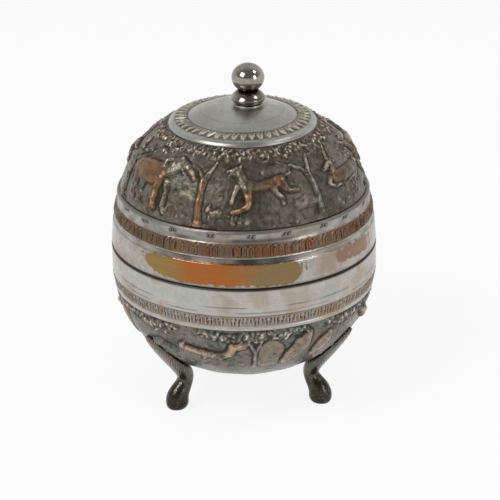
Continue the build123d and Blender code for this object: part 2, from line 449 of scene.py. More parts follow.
def scaled(tree, value, factor, offset):
    return maths(tree, "MULTIPLY_ADD", value, factor, offset)


def blend(tree, share, a, b):
    return addNode(tree, "ShaderNodeMix", {0: share, 6: a, 7: b}, data_type="RGBA").outputs[2]


def ramp(tree, value, *stops):
    node = addNode(tree, "ShaderNodeValToRGB", {0: value})
    elements = node.color_ramp.elements
    while len(elements) < len(stops):
        elements.new(0.5)
    for element, (position, colour) in zip(elements, stops):
        element.position = position
        element.color = colour
    return node.outputs[0]


def mask(tree, value, low, high):
    inputs = {0: value, 1: low, 2: high, 3: 0.0, 4: 1.0}
    return addNode(tree, "ShaderNodeMapRange", inputs, interpolation_type="SMOOTHSTEP").outputs[0]


def noise(tree, where, scale, detail=3.0, rough=0.55):
    inputs = {"Vector": where, "Scale": scale, "Detail": detail, "Roughness": rough}
    return addNode(tree, "ShaderNodeTexNoise", inputs).outputs[0]


def objectPlace(tree):
    return addNode(tree, "ShaderNodeTexCoord").outputs["Object"]


def ownMask(tree, name):
    return addNode(tree, "ShaderNodeAttribute", attribute_name=name).outputs["Fac"]


def newGroup(name, inputs, outputs):
    group = bpy.data.node_groups.new(name, "ShaderNodeTree")
    for label, kind in inputs:
        group.interface.new_socket(label, in_out="INPUT", socket_type=kind)
    for label in outputs:
        group.interface.new_socket(label, in_out="OUTPUT", socket_type="NodeSocketFloat")
    return group, group.nodes.new("NodeGroupInput").outputs, group.nodes.new("NodeGroupOutput").inputs


def useGroup(tree, group, inputs):
    return addNode(tree, "ShaderNodeGroup", inputs, node_tree=group).outputs


def makeTarnishGroup():
    # cloudy stain over plated metal, and scattered specks
    inputs = [("Place", "NodeSocketVector"), ("Size", "NodeSocketFloat")]
    group, given, result = newGroup("tarnishCloud", inputs, ["Cloud", "Speck"])
    slow = noise(group, given["Place"], given["Size"], 4.0, 0.6)
    fine = noise(group, given["Place"], times(group, given["Size"], 9.0), 2.0, 0.6)
    both = scaled(group, fine, 0.35, times(group, slow, 0.65))
    group.links.new(mask(group, both, 0.38, 0.62), result["Cloud"])
    group.links.new(mask(group, fine, 0.56, 0.7), result["Speck"])
    return group


def makeScratchGroup():
    # fine turned scratches that run round the axis, and the turn itself
    inputs = [("Place", "NodeSocketVector"), ("Fineness", "NodeSocketFloat")]
    group, given, result = newGroup("turnedScratches", inputs, ["Scratch", "Turn"])
    parts = addNode(group, "ShaderNodeSeparateXYZ", {0: given["Place"]}).outputs
    square = maths(group, "MULTIPLY_ADD", parts[0], parts[0], times(group, parts[1], parts[1]))
    radius = times(group, maths(group, "SQRT", square), given["Fineness"])
    drawnOut = 30.0
    slow = {0: times(group, parts[0], drawnOut), 1: times(group, parts[1], drawnOut)}
    slow[2] = times(group, parts[2], given["Fineness"])
    spread = addNode(group, "ShaderNodeCombineXYZ", slow).outputs[0]
    inputs = {"Vector": spread, "W": radius, "Scale": 1.0, "Detail": 4.0, "Roughness": 0.7}
    scratch = addNode(group, "ShaderNodeTexNoise", inputs, noise_dimensions="4D").outputs[0]
    group.links.new(scratch, result["Scratch"])
    group.links.new(maths(group, "ARCTAN2", parts[0], times(group, parts[1], -1.0)), result["Turn"])
    return group


tarnishCloud = makeTarnishGroup()
turnedScratches = makeScratchGroup()


# Colours of the metals, as linear values

metal = {
    "silver": (0.50, 0.48, 0.445, 1),
    "silverWarm": (0.42, 0.365, 0.31, 1),
    "silverCool": (0.45, 0.465, 0.44, 1),
    "greyPlate": (0.27, 0.26, 0.235, 1),
    "olivePatina": (0.15, 0.135, 0.085, 1),
    "brownPatina": (0.175, 0.125, 0.085, 1),
    "greenPatina": (0.11, 0.12, 0.09, 1),
    "bluePatina": (0.10, 0.115, 0.11, 1),
    "mauvePatina": (0.17, 0.145, 0.135, 1),
    # the darkest colour: real dirt, and also painted shade and painted dark reflection wherever the dark
    # masks carry them
    "dirtAndShade": (0.02, 0.014, 0.009, 1),
    "copper": (0.36, 0.12, 0.028, 1),
    "copperDeep": (0.21, 0.09, 0.04, 1),
    "ochre": (0.28, 0.18, 0.065, 1),
    "oliveBrown": (0.22, 0.155, 0.07, 1),
    "brownPink": (0.26, 0.165, 0.115, 1),
    "bronze": (0.032, 0.028, 0.021, 1),
    "bronzeHigh": (0.24, 0.21, 0.165, 1),
    # cream and copperGleam colour rubbed crests and also serve as painted highlight
    "cream": (0.66, 0.58, 0.46, 1),
    "copperGleam": (0.62, 0.36, 0.20, 1),
    "figureDeep": (0.11, 0.07, 0.042, 1),
    "figureBright": (0.27, 0.135, 0.062, 1),
    "figureTan": (0.255, 0.19, 0.135, 1),
    "figurePale": (0.39, 0.30, 0.22, 1),
}


def addBump(tree, shader, height, strength, distance):
    bump = addNode(tree, "ShaderNodeBump", {"Strength": strength, "Distance": distance, "Height": height})
    tree.links.new(bump.outputs[0], shader.inputs["Normal"])


def makeReliefMetal(name, look):
    # patinated repousse: mottled ground, copper where rubbed, cream on crests as rubbed wear and painted
    # highlight, dirt in the chasing, and painted shade where the dark mask holds it
    material, tree, shader = newMaterial(name)
    place = objectPlace(tree)
    crest, copper, bright, dark = (ownMask(tree, key) for key in ("crest", "copper", "bright", "dark"))
    cloud = useGroup(tree, tarnishCloud, {"Place": place, "Size": 60.0})
    tint = noise(tree, place, 110.0, 2.0, 0.5)
    blotch = noise(tree, place, 420.0, 3.0, 0.6)
    fine = noise(tree, place, 1500.0, 3.0, 0.65)
    ground = ramp(tree, tint, *[(at, metal[key]) for at, key in look["ground"]])
    ground = blend(tree, look["dulled"], ground, metal["dirtAndShade"])
    ground = blend(tree, times(tree, cloud["Cloud"], 0.4), ground, metal["greyPlate"])
    flecks = times(tree, mask(tree, blotch, 0.5, 0.68), look["flecks"])
    ground = blend(tree, flecks, ground, metal["greyPlate"])
    ground = blend(tree, times(tree, mask(tree, blotch, 0.5, 0.32), 0.6), ground, metal["dirtAndShade"])
    uneven = scaled(tree, tint, 0.8, scaled(tree, blotch, 1.1, -0.95))
    worn = maths(tree, "MULTIPLY_ADD", copper, look["copper"], uneven)
    coppery = blend(tree, mask(tree, worn, 0.55, 1.25), *(metal[key] for key in look["figure"]))
    base = blend(tree, mask(tree, worn, 0.2, 0.85), ground, coppery)
    # painted highlight, partly rubbed wear: crests of bright strokes are lightened to cream, or to copper
    # gleam where worn
    rubbed = times(tree, mask(tree, crest, 0.4, 1.0), scaled(tree, bright, 0.6, 0.12))
    rubbed = times(tree, rubbed, mask(tree, blotch, 0.4, 0.6))
    gleam = blend(tree, mask(tree, worn, 0.3, 1.0), metal["cream"], metal["copperGleam"])
    base = blend(tree, rubbed, base, gleam)
    # the dark mask and low spots take the dirt colour; on the lid dome the dark mask also holds painted
    # front shade
    hollow = maths(tree, "MAXIMUM", dark, mask(tree, times(tree, crest, -1.0), 0.1, 0.85))
    hollow = times(tree, hollow, 0.8)
    tree.links.new(blend(tree, hollow, base, metal["dirtAndShade"]), shader.inputs["Base Color"])
    shader.inputs["Metallic"].default_value = 0.85
    roughness = scaled(tree, fine, 0.24, scaled(tree, hollow, 0.2, 0.17))
    tree.links.new(roughness, shader.inputs["Roughness"])
    addBump(tree, shader, scaled(tree, fine, 0.5, blotch), 0.75, 0.0004)
    return material


def makeBandMetal(name, look):
    # bright plate, worn to copper in a ragged patch, with a chased pattern in part of it
    material, tree, shader = newMaterial(name)
    place = objectPlace(tree)
    crest, copper, pattern, dark = (ownMask(tree, key) for key in ("crest", "copper", "bright", "dark"))
    turned = useGroup(tree, turnedScratches, {"Place": place, "Fineness": 1400.0})
    scratch = turned["Scratch"]
    turn = scaled(tree, turned["Turn"], 1 / fullTurn, 0.5)
    cloud = useGroup(tree, tarnishCloud, {"Place": place, "Size": 60.0})["Cloud"]
    hue = noise(tree, place, 85.0, 2.0, 0.5)
    plates = (0.36, "silverCool"), (0.5, "silver"), (0.64, "silverWarm")
    silver = ramp(tree, hue, *[(at, metal[key]) for at, key in plates])
    silver = blend(tree, times(tree, mask(tree, scratch, 0.5, 0.78), 0.35), silver, metal["greyPlate"])
    silver = blend(tree, times(tree, cloud, look["tarnish"]), silver, metal["brownPink"])
    silver = blend(tree, look["dulled"], silver, metal["dirtAndShade"])
    stops = [(0.5 + azimuth / 360, metal[key]) for azimuth, key in look["hues"]]
    coppery = ramp(tree, scaled(tree, hue, 0.05, maths(tree, "SUBTRACT", turn, 0.025)), *stops)
    coppery = blend(tree, times(tree, mask(tree, scratch, 0.42, 0.75), 0.45), coppery, metal["copperDeep"])
    tall = addNode(tree, "ShaderNodeMapping", {0: place, 3: (420.0, 420.0, 60.0)}).outputs[0]
    drips = times(tree, noise(tree, tall, 1.0, 4.0, 0.65), 0.9)
    ragged = scaled(tree, noise(tree, place, 300.0, 5.0, 0.7), 0.8, drips)
    worn = mask(tree, maths(tree, "ADD", ragged, maths(tree, "SUBTRACT", copper, 0.85)), 0.42, 0.56)
    base = blend(tree, worn, silver, coppery)
    chased = ramp(tree, hue, *[(at, metal[key]) for at, key in look["chased"]])
    # the chased pattern's crests turn lighter in patches, partly rubbed wear and partly painted highlight
    patches = mask(tree, noise(tree, place, 330.0, 3.0, 0.6), 0.34, 0.6)
    patchy = times(tree, mask(tree, crest, 0.1, 0.7), patches)
    chased = blend(tree, patchy, chased, metal[look["chasedHighlight"]])
    base = blend(tree, pattern, base, chased)
    # the dark mask brings dirt, plus painted shade in the seam and a painted dark reflection in the lid's
    # groove and cavetto; low spots darken too
    hollow = maths(tree, "MAXIMUM", dark, mask(tree, times(tree, crest, -1.0), 0.1, 0.6))
    base = blend(tree, times(tree, hollow, 0.9), base, metal["dirtAndShade"])
    tree.links.new(base, shader.inputs["Base Color"])
    shader.inputs["Metallic"].default_value = 0.9
    roughness = scaled(tree, scratch, 0.2, scaled(tree, cloud, 0.1, 0.13))
    tree.links.new(scaled(tree, hollow, 0.3, roughness), shader.inputs["Roughness"])
    bumps = scaled(tree, worn, -0.4, scaled(tree, scratch, 0.4, times(tree, hue, 2.5)))
    addBump(tree, shader, bumps, 0.3, 0.00016)
    return material


def makePolish(name, colour, dull, smoothest, roughest):
    # polished plate with cloudy dulling and turned scratches; crests turn cream as rubbed wear and painted
    # highlight, and the dark mask darkens between the top's leaves and adds the knob's painted neck shade
    material, tree, shader = newMaterial(name)
    place = objectPlace(tree)
    cloud = useGroup(tree, tarnishCloud, {"Place": place, "Size": 90.0})["Cloud"]
    scratch = useGroup(tree, turnedScratches, {"Place": place, "Fineness": 2200.0})["Scratch"]
    base = blend(tree, times(tree, cloud, 0.6), colour, dull)
    base = blend(tree, times(tree, mask(tree, scratch, 0.5, 0.8), 0.4), base, dull)
    base = blend(tree, ownMask(tree, "copper"), base, metal["brownPink"])
    # painted highlight, partly rubbed wear: crests lightened to cream
    rubbed = times(tree, mask(tree, ownMask(tree, "crest"), 0.1, 0.7), 0.8)
    base = blend(tree, rubbed, base, metal["cream"])
    # dark mask: darker between the top's leaves, and painted shade in the knob's neck
    base = blend(tree, ownMask(tree, "dark"), base, metal["dirtAndShade"])
    tree.links.new(base, shader.inputs["Base Color"])
    shader.inputs["Metallic"].default_value = 1.0
    rough = scaled(tree, scratch, roughest - smoothest, smoothest)
    tree.links.new(scaled(tree, cloud, 0.08, rough), shader.inputs["Roughness"])
    addBump(tree, shader, scratch, 0.15, 0.00008)
    return material


def makeCastMetal(name):
    # dark bronze casting, mottled, hatched and duller up the strap, glossy on the foot
    material, tree, shader = newMaterial(name)
    place = objectPlace(tree)
    rubbed = ownMask(tree, "rubbed")
    cloud = useGroup(tree, tarnishCloud, {"Place": place, "Size": 130.0})
    fine = noise(tree, place, 900.0, 4.0, 0.65)
    base = blend(tree, times(tree, cloud["Cloud"], 0.35), metal["bronze"], metal["greenPatina"])
    mottled = mask(tree, noise(tree, place, 150.0, 3.0, 0.6), 0.42, 0.58)
    upper = blend(tree, mottled, metal["greenPatina"], metal["brownPatina"])
    base = blend(tree, rubbed, base, upper)
    base = blend(tree, times(tree, cloud["Speck"], 0.35), base, metal["bronzeHigh"])
    base = blend(tree, times(tree, mask(tree, fine, 0.5, 0.36), 0.6), base, metal["dirtAndShade"])
    tree.links.new(base, shader.inputs["Base Color"])
    shader.inputs["Metallic"].default_value = 0.9
    roughness = scaled(tree, rubbed, 0.14, scaled(tree, fine, 0.16, 0.05))
    tree.links.new(roughness, shader.inputs["Roughness"])
    wave = {"Vector": place, "Scale": 420.0, "Distortion": 2.5, "Detail": 2.0}
    hatch = addNode(tree, "ShaderNodeTexWave", wave).outputs["Fac"]
    hatch = times(tree, hatch, mask(tree, rubbed, 0.55, 0.9))
    dents = scaled(tree, fine, 0.5, scaled(tree, hatch, 0.8, noise(tree, place, 380.0, 2.0, 0.5)))
    addBump(tree, shader, dents, 0.5, 0.0005)
    return material


lidBandMetal = makeBandMetal("wornLidBand", {
    "tarnish": 0.35,
    "dulled": 0.14,
    "hues": [
        (-62, "ochre"), (-34, "ochre"), (-24, "copper"), (-6, "copper"),
        (4, "oliveBrown"), (22, "oliveBrown"), (42, "brownPink"), (70, "brownPink"),
    ],
    "chased": [(0.38, "copperDeep"), (0.5, "brownPatina"), (0.62, "oliveBrown")],
    "chasedHighlight": "brownPink",
})
bowlBandMetal = makeBandMetal("wornBowlBand", {
    "tarnish": 0.2,
    "dulled": 0.03,
    "hues": [(-90, "brownPink"), (90, "brownPink")],
    "chased": [(0.38, "brownPink"), (0.5, "greyPlate"), (0.62, "ochre")],
    "chasedHighlight": "silverWarm",
})
lidReliefMetal = makeReliefMetal("lidRelief", {
    "ground": [(0.34, "greenPatina"), (0.45, "olivePatina"), (0.56, "brownPatina"), (0.68, "mauvePatina")],
    "dulled": 0.3,
    "flecks": 0.3,
    "figure": ("figureDeep", "figureBright"),
    "copper": 1.0,
})
bowlReliefMetal = makeReliefMetal("bowlRelief", {
    "ground": [(0.36, "bluePatina"), (0.46, "greenPatina"), (0.54, "brownPatina"), (0.64, "mauvePatina")],
    "dulled": 0.12,
    "flecks": 0.3,
    "figure": ("figureTan", "figurePale"),
    "copper": 0.85,
})
topMetal = makePolish("burnishedTop", (0.40, 0.405, 0.38, 1), (0.27, 0.255, 0.22, 1), 0.2, 0.4)
knobMetal = makePolish("polishedKnob", (0.33, 0.315, 0.285, 1), (0.12, 0.09, 0.06, 1), 0.05, 0.18)
innerMetal = makePolish("innerPlate", (0.5, 0.44, 0.34, 1), (0.3, 0.24, 0.16, 1), 0.25, 0.45)
brassMetal = makePolish("dullBrass", (0.5, 0.36, 0.16, 1), (0.25, 0.16, 0.07, 1), 0.3, 0.5)
castMetal = makeCastMetal("darkCasting")
print("materials made")


# Lid: bands with a chased border, the repousse dome, the burnished top and the knob's seat

def archedBorder(relief, rng, lowLevel, highLevel, count, lift):
    # upright arches with a bud in each, as a chaser's punch leaves them
    half = math.pi * relief["radius"].max() / count
    tall = highLevel - lowLevel
    for i in range(count):
        top = tall * 0.46 * rng.uniform(0.7, 1.08)
        side, foot = half * rng.uniform(0.5, 0.68), -tall * 0.42
        left = (-side, foot, 0.3), (-side, top * 0.45, 0.32)
        right = (side, top * 0.45, 0.32), (side, foot, 0.3)
        bud = (0, -tall * 0.3, 0.5), (0, top * 0.35, 0.34)
        strokes = [stroke(lift, *left, (0, top, 0.36), *right), stroke(lift * 0.8, *bud)]
        azimuth = 360 * (i + rng.uniform(-0.16, 0.16)) / count
        press(relief, strokes, azimuth, (lowLevel + highLevel) / 2, lift=rng.uniform(0.6, 1.2), chase=0.08)


def tickGroups(relief, rng, level, count, spacing):
    # groups of short slanted punch marks
    for i in range(count):
        azimuth = 360 * i / count + rng.uniform(-2, 2)
        for k in range(rng.choice((3, 3, 4))):
            mark = stroke(0.01, (-0.12, -0.42, 0.24), (0.16, 0.42, 0.2))
            press(relief, [mark], azimuth + k * spacing, level, chase=0.3)


def darken(relief, *shares):
    for share in shares:
        relief["dark"] = np.maximum(relief["dark"], share)
    relief["dark"] = np.clip(relief["dark"], 0, 1)


def makeLidBands():
    settings = {
        "steps": 800,
        "leaves": 112,
        "leafLift": 0.34,
        "bead": 0.22,
        "tickGroups": 21,
        "tickSpacing": 1.25,
        # how far the plate has gone, from the front's big patch to spots at the back
        "wornAzimuths": (-180, -60, -52, -38, 20, 27, 40, 47, 62, 76, 120, 150, 180),
        "worn": (0.1, 0.0, 0.3, 1.0, 1.0, 0.35, 0.3, 0.75, 0.8, 0.2, 0.1, 0.7, 0.1),
        # the level from which it has gone
        "edgeAzimuths": (-60, -50, -42, -34, 20, 30, 45, 70),
        "edge": (9, 7.5, 3.5, 1.6, 1.4, 6.0, 4.0, 3.0),
        # painted dark reflection: how dark the hollow mouldings are painted at each azimuth
        "reflectedDarkAzimuths": (-180, -150, -100, -55, -40, -30, -22, -12, -3, 5, 18, 26, 60, 120, 180),
        "reflectedDark": (0.3, 0.5, 0.3, 0.1, 0.3, 0.75, 0.5, 0.35, 0.9, 0.95, 0.85, 0.15, 0.1, 0.4, 0.3),
    }
    at, wall, rim, roll = lidAt, lidShape["wall"], lidShape["rimRadius"], lidShape["rimRoll"]
    border = at["border"]
    bandEnd, grooveFoot = (at["band"][0], at["band"][1] - 0.5), (at["groove"][0], at["groove"][1] + 0.25)
    grooveHead = (at["grooveTop"][0] - 0.1, at["grooveTop"][1] - 0.3)
    beadTop = (at["grooveTop"][0] + 0.1, at["grooveTop"][1] + 0.35)
    top = (at["dome"][0], at["dome"][1] - 0.05)
    skin = joined(
        arcPoints((rim - roll, 0.0), (rim, roll), roll * 0.29, 5),
        linePoints((rim, roll), bandEnd, 0.8),
        arcPoints(bandEnd, grooveFoot, settings["bead"], 5),
        linePoints(grooveFoot, grooveHead, 0.5),
        arcPoints(grooveHead, beadTop, settings["bead"], 5),
        linePoints(beadTop, border, 0.3),
        arcPoints(border, at["cavetto"], -lidShape["cavettoSink"], 8),
        arcPoints(at["cavetto"], at["ridge"], lidShape["ridgeBulge"], 10),
        linePoints(at["ridge"], top, 0.4),
    )
    inner = [
        (top[0] - wall, top[1]),
        (border[0] - wall - lidShape["cavettoSink"], border[1]),
        (at["groove"][0] - wall, at["groove"][1]),
        (at["band"][0] - wall, at["band"][1] - wall),
        (rim - wall, 0.0),
    ]
    piece = turnSection("lidBands", skin, inner, settings["steps"])
    relief = newRelief(piece, skin, settings["steps"], 11)
    rng = random.Random(11)
    archedBorder(relief, rng, beadTop[1] + 0.2, border[1], settings["leaves"], settings["leafLift"])
    tickGroups(relief, rng, lidShape["ridgeTop"] - 0.9, settings["tickGroups"], settings["tickSpacing"])
    level, azimuth = relief["level"][:, None], relief["azimuth"]
    relief["bright"][:] = (level > beadTop[1]) & (level < border[1] + 0.1)
    reach = np.interp(azimuth, settings["wornAzimuths"], settings["worn"])
    edge = np.interp(azimuth, settings["edgeAzimuths"], settings["edge"])
    aboveEdge = np.clip((level - edge) / 1.6, -0.6, 1)
    belowGroove = np.clip((grooveFoot[1] - level) / 1.5, -0.5, 1)
    relief["copper"] = reach * (0.5 + 0.5 * np.minimum(aboveEdge, belowGroove))
    reflectedDark = np.interp(azimuth, settings["reflectedDarkAzimuths"], settings["reflectedDark"])
    reflectedDark += 0.12 * cloudy(relief, 4, 30, 0.2)
    cavettoMiddle = (border[1] + at["cavetto"][1]) / 2
    darken(
        relief,
        # painted shade in the seam's rolled edge
        np.clip((roll * 1.15 - level) / 0.35, 0, 1),
        # painted dark reflection in the groove
        ((level > grooveFoot[1] - 0.15) & (level < beadTop[1] - 0.5)) * np.clip(reflectedDark, 0, 1),
        # painted dark reflection in the cavetto
        np.exp(-(((level - cavettoMiddle) / 1.1) ** 2)) * np.clip(reflectedDark, 0, 0.9),
        np.clip((level - lidShape["ridgeTop"]) / 0.3, 0, 1) * 0.6,
        (level > border[1]) * (0.22 + 0.16 * cloudy(relief, 6, 44, 0.9)),
        (relief["bright"] > 0) * 0.3,
    )
    stampRelief(relief, 0)
    claim(piece, "lid", "lid", lidBandMetal)


makeLidBands()
print("lid bands made")


# Animals and plants as strokes of (x, y, half width) from each figure's middle

elephant = [
    stroke(1.5, (-11.6, 0.8, 4.9), (-6, 1.4, 5.3), (0, 2.2, 5.0), copper=0.9, bright=0.2, rounding=0.55),
    stroke(1.45, (3.4, 4.0, 4.2), (7.2, 8.2, 4.3), copper=0.55, bright=0.4),
    stroke(1.5, (9.0, 9.4, 2.6), (12.6, 8.3, 1.8), (16.2, 6.2, 1.4), (19.2, 3.6, 1.1),
           copper=0.55, bright=0.9),
    stroke(1.9, (2.4, 5.4, 1.0), (2.3, 8.4, 1.0), (4.0, 10.0, 0.8), copper=0.1, bright=1.0),
    stroke(1.6, (5.6, 5.0, 0.9), (6.2, 8.4, 0.9), copper=0.2, bright=1.0),
    stroke(1.6, (8.0, 11.6, 1.1), (10.2, 10.0, 1.0), copper=0.3, bright=1.0),
    stroke(1.1, (10.8, 6.8, 0.7), (13.4, 5.0, 0.4), bright=0.9),
    stroke(1.75, (3.4, 0.6, 2.4), (2.8, -3.4, 2.0), (2.9, -8.0, 1.5), (3.2, -11.6, 1.7),
           copper=1.0, bright=0.6),
    stroke(0.9, (7.0, -0.4, 2.0), (8.4, -5.4, 1.4), (8.2, -10.4, 1.5), copper=0.1, bright=0.3),
    stroke(1.3, (-12.6, -2.4, 3.4), (-12.4, -7.2, 2.1), (-12.6, -11.2, 2.0), copper=0.35, bright=0.3),
    stroke(0.9, (-7.2, -3.2, 2.6), (-7.6, -7.6, 1.7), (-7.4, -11.0, 1.8), copper=0.1, bright=0.2),
    stroke(0.7, (-16.6, 2.0, 0.6), (-17.8, -2.4, 0.45), (-17.4, -6.0, 0.7), copper=0.3, bright=0.3),
]

cat = [
    stroke(0.65, (4.2, 4.4, 2.6), (11.0, 4.8, 2.6), bright=0.25, rounding=0.9),
    stroke(1.3, (-8.0, 5.2, 2.1), (-10.4, 4.7, 1.4), (-12.4, 4.3, 0.8), copper=0.35, bright=0.8),
    stroke(1.1, (-9.0, 3.3, 1.1), (-11.8, 2.7, 0.6), copper=0.5, bright=0.6),
    stroke(1.3, (-6.8, 6.4, 0.8), (-6.3, 7.6, 0.5), copper=0.2, bright=1.0),
    stroke(1.25, (-7.2, 4.0, 1.9), (-6.8, 1.0, 2.4), (-5.8, -2.0, 3.0), copper=0.3, bright=0.4),
    stroke(1.25, (-5.0, -1.6, 2.8), (0.0, -2.2, 2.1), (4.4, -1.2, 2.4), copper=0.6, bright=0.15),
    stroke(1.55, (7.6, -0.6, 2.9), (9.4, 0.0, 2.4), copper=0.9, bright=0.9),
    stroke(1.6, (-5.4, -3.4, 2.6), (-5.0, -6.6, 2.3), (-5.0, -9.4, 1.7), copper=1.0, bright=0.5),
    stroke(1.3, (-5.4, -10.2, 1.6), (-8.4, -11.8, 1.4), (-11.8, -12.6, 1.3), copper=0.9, bright=0.5),
    stroke(1.1, (-9.0, -2.0, 1.5), (-10.8, -5.6, 1.1), (-12.0, -8.8, 1.0), bright=0.55),
    stroke(1.35, (9.8, -1.4, 2.1), (11.2, -4.2, 1.5), (13.4, -5.3, 1.0), (16.8, -5.3, 0.9),
           copper=0.7, bright=0.5),
    stroke(1.0, (6.0, -3.2, 1.6), (7.6, -5.8, 1.3), (9.5, -7.8, 1.0), (9.8, -10.2, 1.1),
           copper=0.3, bright=0.6),
    stroke(0.75, (10.8, 1.2, 0.7), (13.6, 2.4, 0.55), (13.4, 5.2, 0.55), (8.4, 7.8, 0.5), (3.4, 9.2, 0.4),
           copper=0.4, bright=0.8),
]

antelope = [
    stroke(1.2, (-5.6, -0.8, 3.0), (0, -1.4, 3.1), (6.4, -1.4, 3.0), (12.0, -1.4, 2.6),
           copper=0.65, bright=0.2),
    stroke(1.5, (-6.2, 2.0, 2.3), (-5.2, 4.4, 1.9), copper=0.7, bright=0.6),
    stroke(1.6, (-5.0, 5.6, 1.7), (-8.0, 4.6, 1.3), (-10.2, 3.8, 0.9), copper=0.4, bright=1.0),
    stroke(1.1, (-4.6, 7.0, 0.7), (-2.2, 11.4, 0.6), (0.6, 15.4, 0.45), copper=0.5, bright=1.0),
    stroke(1.1, (-3.2, 6.6, 0.6), (-0.8, 10.6, 0.5), (1.8, 14.2, 0.4), copper=0.5, bright=0.8),
    stroke(1.2, (-3.0, 5.4, 0.7), (-0.8, 5.8, 0.4), copper=0.2, bright=1.0),
    stroke(1.0, (-9.0, -0.4, 1.4), (-10.8, -2.6, 0.9), (-7.0, -4.4, 0.7), (-2.0, -4.6, 0.6),
           copper=0.3, bright=1.0),
    stroke(0.9, (12.6, -2.6, 1.3), (8.0, -4.6, 0.7), (3.0, -5.0, 0.6), copper=0.3, bright=0.8),
    stroke(1.0, (13.4, 0.0, 1.6), (15.6, -1.0, 1.0), copper=0.5, bright=0.7),
]

hare = [
    stroke(0.9, (-0.8, -0.4, 2.0), (1.6, 0.2, 1.8), copper=0.55, bright=0.6),
    stroke(1.1, (-2.8, 1.6, 1.1), (-3.4, 0.6, 0.8), copper=0.3, bright=1.0),
    stroke(0.9, (-2.6, 2.4, 0.45), (-1.8, 3.6, 0.35), copper=0.3, bright=1.0),
    stroke(0.7, (-2.2, -1.4, 0.8), (-2.6, -2.8, 0.5), copper=0.4, bright=0.9),
    stroke(0.7, (1.8, -1.2, 0.9), (2.2, -2.8, 0.6), copper=0.4, bright=0.7),
]

mound = [stroke(0.6, (-1.0, -4.6, 5.2), (0, 2.2, 5.8), copper=0.8, bright=0.5, rounding=0.4)]

hill = [stroke(0.75, (-4.4, -0.6, 2.7), (0, 0.4, 3.3), (4.4, -0.6, 2.7), bright=0.15, rounding=0.9)]

crocodile = [
    stroke(1.0, (-13.0, 2.8, 1.5), (-8.6, 1.4, 1.7), (-3, 0, 2.0), (3.4, -0.8, 2.1),
           copper=0.75, bright=0.9),
    stroke(1.1, (4.4, -0.6, 2.1), (8.2, 1.6, 2.0), (9.6, 4.4, 2.1), copper=0.75, bright=0.8),
    stroke(1.2, (9.8, 5.2, 2.0), (13.2, 6.6, 1.6), (16.4, 7.4, 1.1), copper=0.9, bright=0.9),
    stroke(1.1, (12.0, 4.4, 0.8), (15.4, 5.2, 0.6), copper=0.9, bright=0.8),
    stroke(1.1, (-13.4, 3.6, 0.9), (-12.0, 4.8, 0.5), copper=0.7, bright=0.8),
    stroke(0.7, (-2.4, -1.6, 0.9), (-4.2, -4.2, 0.6), copper=0.9, bright=0.6),
    stroke(0.7, (3.4, -2.4, 1.0), (4.4, -5.0, 0.6), copper=0.9, bright=0.6),
]

leaf = [
    stroke(0.9, (-4.4, -7.2, 1.8), (-1.2, -2.6, 4.0), (2.2, 2.6, 4.4), (4.6, 7.4, 2.0),
           copper=0.95, bright=0.9, rounding=0.45),
    stroke(1.0, (-5.0, -8.0, 0.35), (0.4, -0.4, 0.35), (5.0, 8.0, 0.3), copper=0.8, bright=1.2),
]

smallLeaf = [
    {**mark, "path": [(x * 0.75, y * 0.66, wide * 0.75) for x, y, wide in mark["path"]]} for mark in leaf
]

sapling = [
    stroke(0.8, (0, -9, 1.3), (0, -6.6, 0.9), (0, 2.0, 0.8), copper=0.4, bright=0.6),
    stroke(0.7, (0, 2.0, 0.8), (1.8, 5.6, 0.6), (3.0, 8.8, 0.5), copper=0.3, bright=0.8),
    stroke(0.7, (0, 2.0, 0.8), (-1.6, 5.2, 0.55), (-3.0, 8.4, 0.45), copper=0.3, bright=0.8),
]


def makeTree(copper, lean):
    # a trunk that forks low, drawn from the middle of its height
    return [
        stroke(1.1, (0, -11.4, 2.4), (0, -9, 1.7), (-0.2, -1, 1.4), (lean, 7.4, 1.5),
               copper=copper, bright=0.35, rounding=0.5),
        stroke(0.95, (lean, 7.4, 1.3), (lean - 2.2, 11.0, 1.0), (lean - 6.0, 13.6, 0.8),
               copper=copper * 0.6, bright=0.6),
        stroke(0.95, (lean, 7.4, 1.3), (lean + 1.8, 11.6, 1.0), (lean + 3.6, 16.2, 0.8),
               copper=copper * 0.3, bright=1.0),
        stroke(0.6, (1.4, -10.8, 0.9), (3.8, -11.8, 0.6), copper=copper * 0.5, bright=0.4),
        stroke(0.6, (-1.4, -10.8, 0.9), (-3.8, -11.8, 0.6), copper=copper * 0.5, bright=0.4),
    ]


def around(rng, least, most):
    # azimuths round the whole piece, unevenly spaced
    azimuth = -180.0
    while azimuth < 180:
        yield azimuth
        azimuth += rng.uniform(least, most)


